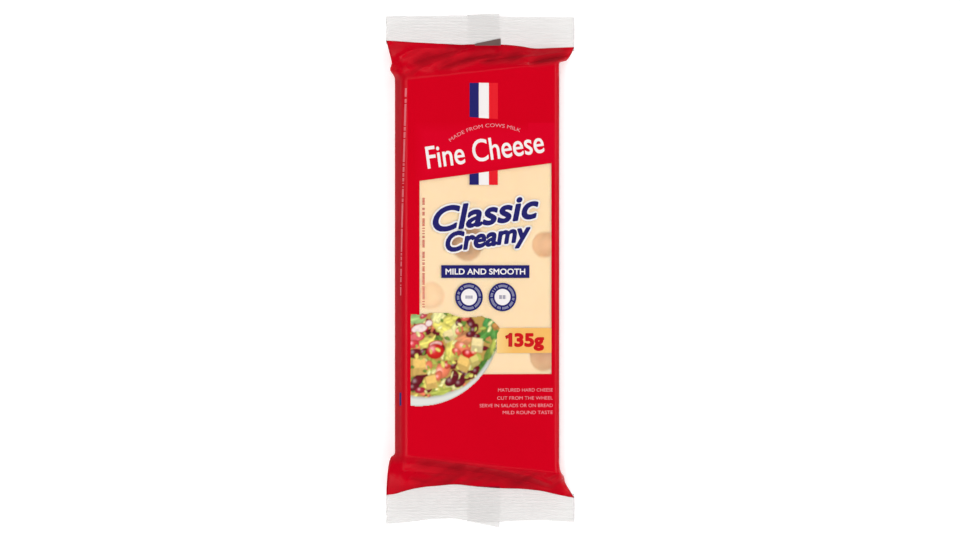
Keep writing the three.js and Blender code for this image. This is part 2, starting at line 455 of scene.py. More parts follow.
def value_noise(x, y, cell_x, cell_y, seed):
    """Smooth noise from -1 to 1 that varies over cells of this size."""
    random = np.random.RandomState(seed)
    table = random.uniform(-1, 1, (64, 64))
    u, v = x / cell_x + 31.7, y / cell_y + 17.3
    i, j = np.floor(u).astype(int), np.floor(v).astype(int)
    fu, fv = u - i, v - j
    fu, fv = fu * fu * (3 - 2 * fu), fv * fv * (3 - 2 * fv)
    a, b = table[i % 64, j % 64], table[(i + 1) % 64, j % 64]
    c, d = table[i % 64, (j + 1) % 64], table[(i + 1) % 64, (j + 1) % 64]
    return (a * (1 - fu) + b * fu) * (1 - fv) + (c * (1 - fu) + d * fu) * fv


def turned(x, y, degrees):
    """x and y along axes that are turned anticlockwise by degrees."""
    c, s = math.cos(math.radians(degrees)), math.sin(math.radians(degrees))
    return x * c + y * s, y * c - x * s


def turned_noise(x, y, degrees, cell_along, cell_across, seed):
    return value_noise(*turned(x, y, degrees), cell_along, cell_across, seed)


def smoothstep(low, high, value):
    t = np.clip((value - low) / (high - low), 0, 1)
    return t * t * (3 - 2 * t)


def line_distance(x, y, points):
    """Distance to a chain of points, and how far along it (0 to 1) the nearest one is."""
    best = np.full(x.shape, 1e9)
    where = np.zeros(x.shape)
    steps = len(points) - 1
    for index in range(steps):
        (ax, ay), (bx, by) = points[index], points[index + 1]
        dx, dy = bx - ax, by - ay
        t = np.clip(((x - ax) * dx + (y - ay) * dy) / (dx * dx + dy * dy), 0, 1)
        d = np.hypot(x - ax - t * dx, y - ay - t * dy)
        nearer = d < best
        best = np.where(nearer, d, best)
        where = np.where(nearer, (index + t) / steps, where)
    return best, where


def crease(x, y, points, width, height):
    """A crease's height: sharp along the chain of points, fading to its sides and ends."""
    distance, along = line_distance(x, y, points)
    ends = smoothstep(0, 0.12, along) * (1 - smoothstep(0.88, 1, along))
    return height * np.exp(-distance / width) * ends


def soft_band(x, y, points, width):
    """1 along the chain of points, fading smoothly to its sides and ends."""
    distance, along = line_distance(x, y, points)
    ends = smoothstep(0, 0.3, along) * (1 - smoothstep(0.7, 1, along))
    return np.exp(-((distance / width) ** 2)) * ends


# Folds of the front film: (points, width, height), raised where the height is positive
FRONT_FOLDS = (
    ([(19, 84.9), (29, 86.6), (40, 88.8)], 0.9, -1.2),
    ([(17, 86.9), (27, 88.2), (38, 90.0)], 0.8, 0.8),
    ([(-20, 81.8), (-8, 86.0), (8, 89.4)], 1.0, -1.0),
    ([(-14, 82.0), (-3, 85.6), (12, 88.2)], 0.9, 0.8),
    ([(-32, 83.0), (-22, 87.2), (-9, 90.3)], 1.0, -0.8),
    ([(-27, 81.5), (-16, 86.0), (-3, 91.0)], 1.0, 0.6),
    ([(-2, 85.2), (8, 86.8), (22, 88.8)], 1.0, -1.0),
    ([(-36, 86.5), (-28, 90.6), (-14, 91.6)], 1.0, 0.6),
    ([(-33, -77.5), (-14, -80.4), (4, -83.0), (21, -86.6), (31, -90.6)], 0.7, 0.7),
    ([(-34, -80.2), (-16, -82.8), (4, -85.6), (22, -89.4), (32, -92.6)], 1.5, -0.8),
    ([(-35, -83.6), (-24, -84.6), (-8, -86.0)], 1.0, 0.6),
    ([(2, -85.5), (-6, -88.0), (-12, -90.0)], 1.1, 0.5),
    ([(12, -87.2), (20, -89.9), (24, -92.0)], 1.0, 0.5),
    ([(-32, -87.0), (-22, -89.6), (-8, -88.6)], 0.9, -0.6),
)

# How soon the film spreads at each end, on its left and its right: 1 is evenly, 0 at once
EAR_POWER = {1: (1.0, 0.22), -1: (0.3, 0.9)}
# Small pinched ears: end, side, how far past the block's end they are, half their length, height
EARS = ((1, -1, 3.2, 1.6, 1.6), (-1, 1, 1.0, 2.6, 1.5))
TAPER_LENGTH = 12.0  # about what it is on average


class Film:
    """The sleeve as a grid: rows go from its bottom end to its top, columns round the tube."""

    def __init__(self):
        self.columns()
        self.rows()
        base = self.base()
        self.points = base + self.relief(base)
        self.settle()
        self.find_normals()

    def columns(self):
        """The ring that the film makes round the block: front, side and back, then mirrored.

        Its girth is the distance round it from the middle of the front, to the right positive.
        """
        flat, r = HALF_WIDTH - FILM_CORNER_RADIUS, FILM_CORNER_RADIUS
        quarter, side = math.pi * r / 2, 2 * (HALF_HEIGHT - r)
        lengths = (flat, quarter, side, quarter, flat)
        counts = (round(flat / FLAT_STEP), CORNER_COLUMNS, round(side / FLAT_STEP))
        starts = np.cumsum((0, *lengths))
        u = [np.zeros(1)]
        for start, length, count in zip(starts, lengths, (*counts, *counts[1::-1])):
            u.append(start + length * np.linspace(0, 1, count + 1)[1:])
        u = np.concatenate(u)
        front, upper, down, lower, back = (
            np.clip((u - start) / length, 0, 1) for start, length in zip(starts, lengths)
        )
        upper, lower = upper * math.pi / 2, lower * math.pi / 2
        x = flat * (front - back) + r * (np.sin(upper) + np.cos(lower) - 1)
        z = HALF_HEIGHT - r * (1 - np.cos(upper) + np.sin(lower)) - side * down
        self.half_girth = u[-1]
        self.girth = np.concatenate([-u[-2:0:-1], u])
        self.ring_z = np.concatenate([z[-2:0:-1], z])
        self.ring_x = np.concatenate([-x[-2:0:-1], x])
        outer = np.clip((np.abs(self.ring_x) - flat) / r, 0, 1)
        from_widest = self.ring_z / HALF_HEIGHT - BULGE_HEIGHT
        reach = np.where(from_widest > 0, 1 - BULGE_HEIGHT, 1 + BULGE_HEIGHT)
        self.ring_x += np.sign(self.ring_x) * outer * SIDE_BULGE * (1 - (from_widest / reach) ** 2)
        self.front = np.abs(self.girth) <= self.half_girth / 2
        beyond = np.sign(self.girth) * (self.half_girth - np.abs(self.girth))
        folded = np.where(self.front, self.girth, beyond)
        self.seal_x = folded * SEAL_HALF_WIDTH / (self.half_girth / 2)
        self.from_edge = np.abs(np.abs(self.girth) - self.half_girth / 2)

    def rows(self):
        body = np.linspace(-1, 1, 2 * round(half_length(0) / BODY_ROW_STEP) + 1)
        taper = np.linspace(0, 1, TAPER_ROWS + 1)[1:]
        self.along = np.concatenate([body[0] - taper[::-1], body, body[-1] + taper])
        self.first_body = TAPER_ROWS
        self.body_rows = body

    def base(self):
        """The tube pulled straight from the block's edges to the seals."""
        rows, columns = len(self.along), len(self.girth)
        points = np.zeros((rows, columns, 3))
        end_y = half_length(self.ring_x) + SKIN
        slit = np.where(self.front, SLIT_HALF_HEIGHT, -SLIT_HALF_HEIGHT)
        for row, along in enumerate(self.along):
            share = max(abs(along) - 1, 0)
            end = 1 if along > 0 else -1
            power = self.ear_power(end)
            x = self.ring_x + (self.seal_x - self.ring_x) * share**power
            z = self.ring_z + (SEAL_Z - CENTRE_Z + slit - self.ring_z) * share
            if share:
                y = end * end_y * (1 - share) + PRINT_END[end](self.seal_x) * share
            else:
                y = along * end_y
            points[row] = np.stack([x, y, z + CENTRE_Z], axis=1)
        return points

    def ear_power(self, end):
        """Below 1 on the sides, where the film spreads to its ears soon after the block's end."""
        near = 1 - smoothstep(0.3 * HALF_HEIGHT, 2.2 * HALF_HEIGHT, self.from_edge)
        least = np.where(self.girth < 0, EAR_POWER[end][0], EAR_POWER[end][1])
        return 1 - (1 - least) * near

    def relief(self, base):
        """Folds and slack that the straight film lacks, as offsets of its points."""
        x, y = base[..., 0], base[..., 1]
        share = np.clip(np.abs(self.along) - 1, 0, 1)[:, None]
        pinned = 1 - smoothstep(0.75, 1.0, share)
        height = np.zeros(x.shape)
        # the fold number below is painted shade: darker red along the valley folds and in streaks and
        # blotches over the ends' tapers; it also makes the film duller there
        fold_shade = np.zeros(x.shape)
        for chain, width, rise in FRONT_FOLDS:
            height += crease(x, y, chain, width, rise) * self.front * pinned
            if rise < 0:
                fold_shade += 0.55 * abs(rise) * soft_band(x, y, chain, 2.0 * width)
        streaks = np.clip(turned_noise(x, y, 30, 9, 1.7, 11), 0, 1)
        blotches = np.clip(turned_noise(x, y, 10, 12, 5, 12), 0, 1)
        fold_shade += smoothstep(0, 0.2, share) * (0.35 * streaks + 0.25 * blotches)
        self.fold_shade = np.clip(fold_shade * self.front, 0, 0.8)
        slack = smoothstep(0.0, 0.35, share) * pinned
        front = smoothstep(0, 3.0, base[..., 2] - SEAL_Z) * self.front
        for gain, *pattern in (
            (0.20 * front, 28, 14, 2.6, 3),
            (0.15 * front, -20, 11, 2.2, 4),
            (0.25 * ~self.front, 15, 12, 2.8, 5),
            (0.10 * np.sign(x) * np.sign(y), 60, 9, 3.5, 6),
        ):
            height += gain * slack * turned_noise(x, y, *pattern)
        level = (share == 0) * self.front
        height += 0.05 * level * value_noise(x, y, 23, 31, 7)
        near_end = smoothstep(0.82, 1.0, np.abs(self.along))[:, None] * level
        height += 0.10 * near_end * turned_noise(x, y, 80, 16, 5, 8)
        out = np.zeros(base.shape)
        out[..., 2] = height * np.where(self.front, 1, -1)
        out[..., 0] = SEAL_SHIFT * share
        beside = 1 - smoothstep(0, 1.4 * HALF_HEIGHT, self.from_edge)
        before = (np.abs(self.along) - 1)[:, None] * half_length(0)
        past = np.where(share > 0, share * TAPER_LENGTH, before)
        for end, side, middle, reach, rise in EARS:
            here = (np.sign(self.along)[:, None] == end) & (np.sign(self.girth) == side)
            pinch = np.exp(-(((past - middle) / reach) ** 2))
            out[..., 0] += side * rise * here * beside * pinch
        return out

    def settle(self):
        """Eases the sharp turns at the block's ends, as stiff film does."""
        middle = (self.points[:-2] + self.points[2:]) / 2
        at_end = np.abs(np.abs(self.along[1:-1]) - 1) < 0.08
        self.points[1:-1] += (middle - self.points[1:-1]) * 0.5 * at_end[:, None, None]

    def find_normals(self):
        along = np.gradient(self.points, axis=0)
        round_tube = np.roll(self.points, -1, axis=1) - np.roll(self.points, 1, axis=1)
        normals = np.cross(round_tube, along)
        self.normals = normals / np.linalg.norm(normals, axis=2, keepdims=True)

    def at(self, x, y, lift):
        """The point over the front, lift above the film, for flat coordinates x and y."""
        x, y = np.asarray(x, float), np.asarray(y, float)
        column = np.interp(x, self.girth, np.arange(len(self.girth)))
        body_row = y / (half_length(x) + SKIN)
        row = self.first_body + np.interp(body_row, self.body_rows, np.arange(len(self.body_rows)))
        i, j = np.floor(row).astype(int), np.floor(column).astype(int)
        fi, fj = (row - i)[..., None], (column - j)[..., None]

        def blend(grid):
            low = grid[i, j] * (1 - fj) + grid[i, j + 1] * fj
            high = grid[i + 1, j] * (1 - fj) + grid[i + 1, j + 1] * fj
            return low * (1 - fi) + high * fi

        return blend(self.points) + blend(self.normals) * np.asarray(lift)[..., None]


# ---- Mesh helpers ----


def add_object(name, vertices, faces, material):
    mesh = bpy.data.meshes.new(name)
    mesh.from_pydata((np.asarray(vertices) * MM).tolist(), [], faces)
    mesh.materials.append(material)
    mesh.shade_smooth()
    return place(name, mesh)


def grid_faces(rows, columns, start=0, wrap=False, flip=False):
    faces = []
    for row in range(rows - 1):
        for column in range(columns if wrap else columns - 1):
            after = (column + 1) % columns
            quad = (
                start + row * columns + column,
                start + row * columns + after,
                start + (row + 1) * columns + after,
                start + (row + 1) * columns + column,
            )
            faces.append(quad[::-1] if flip else quad)
    return faces


def thin_solid(name, top, bottom, material, tube=False):
    """A closed solid between two grids of points; the rows of a tube's grids are rings."""
    rows, columns = top.shape[:2]
    count = rows * columns
    faces = grid_faces(rows, columns, wrap=tube)
    faces += grid_faces(rows, columns, start=count, wrap=tube, flip=True)
    first, last = [*range(columns)], [*range(count - 1, count - columns - 1, -1)]
    if tube:
        rims = [first, last]
    else:
        right = range(2 * columns - 1, count - 1, columns)
        left = range(count - 2 * columns, 0, -columns)
        rims = [[*first, *right, *last, *left]]
    for rim in rims:
        for a, b in zip(rim, rim[1:] + rim[:1]):
            faces.append((b, a, a + count, b + count))
    vertices = np.concatenate([top.reshape(-1, 3), bottom.reshape(-1, 3)])
    return add_object(name, vertices, faces, material)


def add_number(thing, name, values):
    """Keeps a number for each of the mesh's points, for its material to read."""
    layer = thing.data.attributes.new(name, "FLOAT", "POINT")
    layer.data.foreach_set("value", values.astype(np.float32))


# ---- Cheese ----

CHEESE_STEP = 0.8
BLOCK_EDGE_RADIUS = 1.6
DEEP_EYE = 4.0  # from this depth on a hole gets its full painted shade

# Holes: the face each is in, its middle from the block's middle, its mouth's radius, its depth
EYES = (
    ("front", (-5.8, 10.4), 7.4, 5.2),
    ("front", (27.4, 9.6), 5.6, 4.0),
    ("front", (27.0, -36.6), 6.3, 4.6),
    ("front", (-21.2, -11.6), 6.0, 2.2),
    ("front", (9.5, 55.0), 5.0, 4.2),
    ("front", (-22.0, 44.0), 4.2, 3.4),
    ("front", (-9.0, -52.0), 6.4, 4.4),
    ("front", (16.0, -66.0), 3.6, 2.8),
    ("back", (12.0, 28.0), 6.0, 4.2),
    ("back", (-16.0, 62.0), 5.2, 3.6),
    ("back", (17.0, -20.0), 4.6, 3.0),
    ("back", (-18.0, -34.0), 6.6, 4.0),
    ("left", (22.0, 0.6), 3.4, 3.2),
    ("left", (-48.0, -0.8), 3.0, 2.6),
    ("right", (45.0, 0.4), 3.6, 3.4),
    ("top", (-14.0, 0.5), 3.2, 2.8),
    ("bottom", (8.0, -0.6), 2.8, 2.4),
)


def box_surface(half, step):
    """The points and quads of a finely divided box surface, with no seams between its faces."""
    counts = [max(2, round(2 * h / step)) for h in half]
    ids, vertices, faces = {}, [], []

    def vertex(key):
        if key not in ids:
            ids[key] = len(vertices)
            vertices.append([half[a] * (2 * key[a] / counts[a] - 1) for a in range(3)])
        return ids[key]

    for axis in range(3):
        u, v = (axis + 1) % 3, (axis + 2) % 3
        for level in (0, counts[axis]):
            for i in range(counts[u]):
                for j in range(counts[v]):
                    keys = []
                    for di, dj in ((0, 0), (1, 0), (1, 1), (0, 1)):
                        key = [0, 0, 0]
                        key[axis], key[u], key[v] = level, i + di, j + dj
                        keys.append(vertex(tuple(key)))
                    faces.append(tuple(keys) if level else tuple(keys[::-1]))
    return np.array(vertices), faces


def eye_frames():
    """Each hole's middle on its face, the direction out of that face, and its size."""
    outward = {
        "front": (0, 0, 1), "back": (0, 0, -1), "left": (-1, 0, 0),
        "right": (1, 0, 0), "top": (0, 1, 0), "bottom": (0, -1, 0),
    }
    half_width, half_height = BLOCK_HIGH[0], (BLOCK_HIGH[2] - BLOCK_LOW[2]) / 2
    for face, (u, v), mouth, depth in EYES:
        out = np.array(outward[face], float)
        if face in ("front", "back"):
            middle = np.array([u, v, out[2] * half_height])
        elif face in ("left", "right"):
            middle = np.array([out[0] * half_width, u, v])
        else:
            middle = np.array([u, out[1] * half_length(u), v])
        yield middle, out, mouth, depth


def make_cheese(material):
    half_height = (BLOCK_HIGH[2] - BLOCK_LOW[2]) / 2
    half = np.array([BLOCK_HIGH[0], half_length(0), half_height])
    points, faces = box_surface(half, CHEESE_STEP)
    core = np.clip(points, -(half - BLOCK_EDGE_RADIUS), half - BLOCK_EDGE_RADIUS)
    away = points - core
    length = np.linalg.norm(away, axis=1, keepdims=True)
    points = core + away / np.maximum(length, 1e-9) * BLOCK_EDGE_RADIUS
    normals = away / np.maximum(length, 1e-9)
    points[:, 1] *= half_length(points[:, 0]) / half[1]
    x, y = points[:, 0], points[:, 1]
    wobble = 0.06 * value_noise(x, y, 9, 13, 21) + 0.03 * value_noise(x, y, 2.1, 3.3, 22)
    points -= normals * (0.09 + wobble)[:, None]
    # painted shade in each hole, more in the deeper ones, kept for the material
    eye_shade = np.zeros(len(points))
    for middle, out, mouth, depth in eye_frames():
        offset = points - middle
        below = offset @ out
        flat = offset - below[:, None] * out
        angle = np.arctan2(flat @ np.roll(out, 1), flat @ np.roll(out, 2))
        uneven = 1 + 0.035 * np.sin(2 * angle + mouth) + 0.025 * np.sin(3 * angle + depth)
        distance = np.linalg.norm(flat, axis=1) / uneven
        radius = (mouth * mouth + depth * depth) / (2 * depth)
        sunk = np.sqrt(np.maximum(radius**2 - distance**2, 0)) - (radius - depth)
        near = (distance < mouth) & (np.abs(below) < 1.0) & (normals @ out > 0.5)
        # the mouth's edge is rounded over a millimetre
        rounded = smoothstep(0, 1.0, sunk) * sunk
        points[near] -= rounded[near][:, None] * out
        shade = smoothstep(mouth + 0.25, mouth - 0.9, distance) * (np.abs(below) < 1.0)
        shade *= (normals @ out > 0.5) * min(1, depth / DEEP_EYE)
        eye_shade = np.maximum(eye_shade, shade)
    points[:, 2] += (BLOCK_LOW[2] + BLOCK_HIGH[2]) / 2
    cheese = add_object("cheese", points, faces, material)
    add_number(cheese, "eye_shade", eye_shade)
    return cheese


# ---- End seals ----

SEAL_FILM = 0.2
SEAL_COLUMN_STEP = 0.7
SEAL_TUCK = 1.6  # of the seal inside the sleeve's slit
ROWS_PER_RIB = 8
RIB_HALF_RISE = 0.13
FIN_REACH = {1: (0.3, 1.1), -1: (0.2, 2.1)}  # past the seal's cut edge, at its left and right


def seal_wave(x, along, end):
    """How far the free end of the film curls from its plane, along = 0 at the print's end."""
    lift = smoothstep(0.15, 1.0, along)
    wave = 0.55 * value_noise(x, along * 6, 17, 9, 31 + end)
    wave += 0.25 * value_noise(x, along * 8, 6, 7, 41 + end)
    return lift * wave + 0.12 * value_noise(x, along * 14, 5, 4, 51 + end)


def crimped_sheet(name, end, xs, rows, reach, drop, material):
    """Ribbed film past the print's end: from reach[0] inside it to reach[1] past the cut edge."""
    print_end, cut_edge = end * PRINT_END[end](xs), end * CUT_EDGE[end](xs)
    start, stop = print_end - reach[0], cut_edge + reach[1]
    y = start[None, :] + (stop - start)[None, :] * np.linspace(0, 1, rows + 1)[:, None]
    x = np.broadcast_to(xs, y.shape)
    past = (y - print_end[None, :]) / (cut_edge - print_end)[None, :]
    ribbed = smoothstep(0.0, 0.06, past) * (1 - smoothstep(0.95, 0.99, past))
    uneven = 0.7 + 0.3 * value_noise(x, y, 14, 5, 61 + end)
    slow = 0.3 * value_noise(x, y, 30, 40, 66 + end)
    rib = RIB_HALF_RISE * np.sin(2 * math.pi * (y + slow) / RIB_PITCH) * ribbed
    z = SEAL_Z - drop + rib * uneven + seal_wave(x, np.clip(past, 0, 1), end)
    side = np.abs(x) / SEAL_HALF_WIDTH
    x = x + SEAL_SHIFT + 0.2 * value_noise(0 * x, y, 5, 2.5, 71 + end) * side
    middle = np.stack([x, end * y, z], axis=2)
    if end < 0:
        middle = middle[::-1]
    thick = np.array([0, 0, SEAL_FILM / 2])
    return thin_solid(name, middle + thick, middle - thick, material)


def make_seal(name, end, material):
    half = SEAL_HALF_WIDTH
    xs = np.linspace(-half, half, round(2 * half / SEAL_COLUMN_STEP) + 1)
    rows = round((SEAL_DEPTH + SEAL_TUCK) / RIB_PITCH * ROWS_PER_RIB)
    return crimped_sheet(name, end, xs, rows, (SEAL_TUCK, 0 * xs), 0.0, material)


def make_fin_end(name, end, material):
    """The folded fin's own two layers in a seal, under it and a little longer than it."""
    right = FIN_SEAM_X + FIN_WIDTH
    xs = np.linspace(FIN_SEAM_X - 1.5, right + 1.2, 28)
    over = np.interp(xs, [FIN_SEAM_X, right], FIN_REACH[end])
    return crimped_sheet(name, end, xs, 90, (0.4, over), SEAL_FILM + 0.03, material)


def make_fin(film, material):
    """The fin folded flat on the back, from one end of the printed film to the other."""
    count = 13
    xs = np.linspace(FIN_SEAM_X, FIN_SEAM_X + FIN_WIDTH, count)
    back = np.nonzero(film.ring_z < -HALF_HEIGHT + 0.01)[0]
    rows = len(film.along)
    under = np.zeros((rows, count, 3))
    for row in range(rows):
        line = film.points[row, back]
        sort = np.argsort(line[:, 0])
        line = line[sort]
        under[row, :, 0] = xs
        under[row, :, 1] = np.interp(xs, line[:, 0], line[:, 1])
        under[row, :, 2] = np.interp(xs, line[:, 0], line[:, 2])
    wave = 0.05 * np.sin(under[..., 1] * 0.9 + 1.3 * np.sin(under[..., 1] * 0.13))
    free = smoothstep(0.2, 1.0, (under[..., 0] - FIN_SEAM_X) / FIN_WIDTH)
    under[..., 0] += 0.25 * free * value_noise(under[..., 1], under[..., 1] * 0, 17, 9, 81)
    gap = 0.02 + 0.06 * free * (1 + wave)
    top, bottom = under.copy(), under.copy()
    top[..., 2] -= gap * 0.5
    bottom[..., 2] = np.maximum(under[..., 2] - 0.18, 0.01)
    return thin_solid("fin_seal", top, bottom, material)


# ---- Lettering and picture on the film ----

INK_LIFT = 0.03
UNDER_LIFT = 0.021  # of ink that other ink is laid over
INK_THICKNESS = 0.02
LONGEST_EDGE = 2.0


def glyph_mesh(text, shear, detail):
    """The flat letters of a text as points and triangles, in the font's own units."""
    curve = bpy.data.curves.new("letters", "FONT")
    curve.body = text
    curve.shear = shear
    curve.fill_mode = "FRONT"
    curve.resolution_u = detail
    words = place("letters", curve)
    graph = bpy.context.evaluated_depsgraph_get()
    mesh = bpy.data.meshes.new_from_object(words.evaluated_get(graph))
    bpy.data.objects.remove(words)
    bpy.data.curves.remove(curve)
    shape = bmesh.new()
    shape.from_mesh(mesh)
    bpy.data.meshes.remove(mesh)
    bmesh.ops.remove_doubles(shape, verts=shape.verts, dist=1e-5)
    bmesh.ops.triangulate(shape, faces=shape.faces)
    shape.verts.index_update()
    points = np.array([v.co[:2] for v in shape.verts])
    triangles = [[v.index for v in face.verts] for face in shape.faces]
    outline = [[v.index for v in edge.verts] for edge in shape.edges if len(edge.link_faces) == 1]
    shape.free()
    return points, triangles, outline


def swollen(points, triangles, outline, radius, sides=12):
    """The shape grown by radius all round, as the union of pieces laid along its outline."""
    polygons = [points[triangle] for triangle in triangles]
    angles = np.arange(sides) * 2 * math.pi / sides
    disc = np.stack([np.cos(angles), np.sin(angles)], axis=1) * radius
    for a, b in outline:
        along = points[b] - points[a]
        length = np.hypot(*along)
        if length < 1e-3:
            continue
        side = np.array([-along[1], along[0]]) / length * radius
        ends = points[[a, b]]
        polygons.append(np.concatenate([ends - side, ends[::-1] + side]))
    for index in {i for edge in outline for i in edge}:
        polygons.append(points[index] + disc)
    corners, faces = [], []
    for polygon in polygons:
        x, y = polygon[:, 0], polygon[:, 1]
        area = np.dot(x, np.roll(y, -1)) - np.dot(y, np.roll(x, -1))
        if abs(area) < 1e-5:
            continue
        ordered = polygon if area > 0 else polygon[::-1]
        faces.append(list(range(len(corners), len(corners) + len(ordered))))
        corners.extend(Vector(corner) for corner in ordered.tolist())
    found = geometry.delaunay_2d_cdt(corners, [], faces, 0, 1e-5)
    kept = [list(face) for face, origin in zip(found[2], found[5]) if origin]
    return np.array([tuple(v) for v in found[0]]), kept


def finely_divided(points, faces, longest):
    """The flat shape's mesh with no edge much longer than this."""
    shape = bmesh.new()
    verts = [shape.verts.new((x, y, 0)) for x, y in points]
    for face in faces:
        shape.faces.new([verts[i] for i in face])
    bmesh.ops.dissolve_limit(shape, angle_limit=0.03, verts=shape.verts, edges=shape.edges)
    bmesh.ops.triangulate(shape, faces=shape.faces)
    for _ in range(3):
        long_edges = [e for e in shape.edges if e.calc_length() > longest]
        if not long_edges:
            break
        bmesh.ops.subdivide_edges(shape, edges=long_edges, cuts=1)
        bmesh.ops.triangulate(shape, faces=shape.faces)
    loose = [v for v in shape.verts if not v.link_faces]
    bmesh.ops.delete(shape, geom=loose, context="VERTS")
    shape.verts.index_update()
    points = np.array([v.co[:2] for v in shape.verts])
    faces = [[v.index for v in face.verts] for face in shape.faces]
    edge = []
    for each in shape.edges:
        if len(each.link_faces) == 1:
            loop = each.link_loops[0]
            edge.append((loop.vert.index, loop.link_loop_next.vert.index))
    shape.free()
    return points, faces, edge


def lettering(name, text, box, film, material, degrees=0.0, bold=0.0, shear=0.0, lift=INK_LIFT,
              bend=0.0, detail=5, stroke=()):
    """Words that fill box (middle x, middle y, width, height) and lie on the film.

    They are turned by degrees, grown by bold and, if bend isn't 0, laid on an arc of that radius.
    A stroke is one more shape beside them, as an outline measured from the box's middle.
    """
    points, triangles, outline = glyph_mesh(text, shear, detail)
    low, high = points.min(0), points.max(0)
    middle_x, middle_y, width, height = box
    scale = (np.array([width, height]) - 2 * bold) / (high - low)
    points = (points - (low + high) / 2) * scale
    faces = triangles
    if bold:
        points, faces = swollen(points, triangles, outline, bold)
    if stroke:
        faces = faces + [list(range(len(points), len(points) + len(stroke)))]
        points = np.concatenate([points, np.array(stroke)])
    points, faces, edge = finely_divided(points, faces, LONGEST_EDGE)
    x, y = points[:, 0], points[:, 1]
    if bend:
        x, y = (bend + y) * np.sin(x / bend), (bend + y) * np.cos(x / bend) - bend
    x, y = turned(x, y, -degrees)
    x, y = middle_x + x, middle_y + y
    top = film.at(x, y, lift + 0 * x)
    bottom = film.at(x, y, lift - INK_THICKNESS + 0 * x)
    count = len(points)
    solid = [tuple(face) for face in faces]
    solid += [tuple(i + count for i in reversed(face)) for face in faces]
    solid += [(b, a, a + count, b + count) for a, b in edge]
    return add_object(name, np.concatenate([top, bottom]), solid, material)


PICTURE_STEP = 0.25
PICTURE_LEFT, PICTURE_TOP = -30.1, -18.8
PLATE_CENTRE, PLATE_RADIUS = (-26.5, -22.5), 34.8
DISH_CENTRE, DISH_RADIUS = (-24.5, -21.2), 32.3


class Picture:
    """A picture of a salad, painted shape over shape on a grid of points."""

    def __init__(self):
        right, bottom = 9.5, -59.0
        xs = np.arange(PICTURE_LEFT, right, PICTURE_STEP)
        ys = np.arange(bottom, PICTURE_TOP + PICTURE_STEP / 2, PICTURE_STEP)
        self.x, self.y = np.meshgrid(xs, ys)
        self.colour = np.zeros((*self.x.shape, 3))
        self.random = np.random.RandomState(5)
        self.colour[:] = ink(196, 158, 84)[:3]

    def lay(self, mask, colour):
        mask = np.clip(mask, 0, 1)[..., None]
        self.colour = self.colour * (1 - mask) + np.asarray(colour) * mask

    def local(self, x, y, degrees):
        return turned(self.x - x, self.y - y, degrees)

    def lit(self, colour, amount):
        """The ink for a colour, lighter by this share, or darker where it is below 0."""
        base = np.asarray(ink(*colour)[:3])
        return base * (1 + amount[..., None])

    def leaf(self, x, y, length, width, degrees, colour, frill=0.2):
        u, v = self.local(x, y, degrees)
        edge = 1 + frill * value_noise(u, v, 1.1, 1.1, self.random.randint(999))
        d = np.hypot(u / length, v / width) / edge
        vein = np.exp(-((v / (0.12 * width)) ** 2)) * 0.35
        ridges = 0.3 * value_noise(u, v, 1.6, 0.8, self.random.randint(999))
        shade = vein + ridges - 0.35 * smoothstep(0.6, 1.0, d)
        self.lay(smoothstep(1.0, 0.9, d), self.lit(colour, shade))

    def cube(self, x, y, size, degrees, colour):
        """A cube of cheese, seen from above one corner: a light top and two darker sides."""
        for sides, shift, level in (
            ((1.12, 1.12), (0.0, -0.32), -0.27),
            ((1.0, 0.74), (0.0, 0.12), 0.06),
        ):
            u, v = self.local(x + shift[0] * size, y + shift[1] * size, degrees)
            d = np.maximum(np.abs(u) / sides[0], np.abs(v) / sides[1]) / (size * 0.62)
            grain = 0.08 * value_noise(u, v, 0.8, 0.8, self.random.randint(999))
            self.lay(smoothstep(1.0, 0.88, d), self.lit(colour, level + grain + 0.05 * u / size))

    def ball(self, x, y, radius, colour, stretch=1.0, degrees=0.0, shine=0.5):
        """A round fruit or bean with a soft highlight."""
        u, v = self.local(x, y, degrees)
        d = np.hypot(u / stretch, v) / radius
        size = 0.35 * radius
        glint = shine * np.exp(-((u + size) ** 2 + (v - size) ** 2) / size**2)
        body = self.lit(colour, 0.15 - 0.55 * d**3)
        self.lay(smoothstep(1.0, 0.86, d), body + glint[..., None])

    def slice(self, x, y, radius, stretch, degrees, rind, flesh):
        """A round slice with a coloured rind."""
        u, v = self.local(x, y, degrees)
        d = np.hypot(u, v / stretch) / radius
        self.lay(smoothstep(1.0, 0.9, d), self.lit(rind, 0 * d))
        core = 0.12 * value_noise(u, v, 0.9, 0.9, self.random.randint(999))
        self.lay(smoothstep(0.82, 0.72, d), self.lit(flesh, core))


LEAF_DARK, LEAF_MID, LEAF_LIGHT = (110, 142, 62), (182, 190, 88), (232, 220, 112)
LEAF_PALE, CHEESE_CUBE, CHEESE_PALE = (242, 236, 164), (246, 202, 114), (246, 226, 164)
TOMATO, TOMATO_PALE, BEAN, RADISH = (208, 38, 34), (234, 128, 92), (106, 26, 38), (204, 34, 60)
RADISH_FLESH = (248, 228, 222)


def scatter_leaves(picture, count, area, lengths, widths, shades, frill):
    """Small leaves at random places in area (left, right, bottom, top)."""
    random = picture.random
    left, right, bottom, top = area
    for _ in range(count):
        x, y = random.uniform(left, right), random.uniform(bottom, top)
        shade = shades[random.randint(len(shades))]
        length, width = random.uniform(*lengths), random.uniform(*widths)
        picture.leaf(x, y, length, width, random.uniform(0, 180), shade, frill)


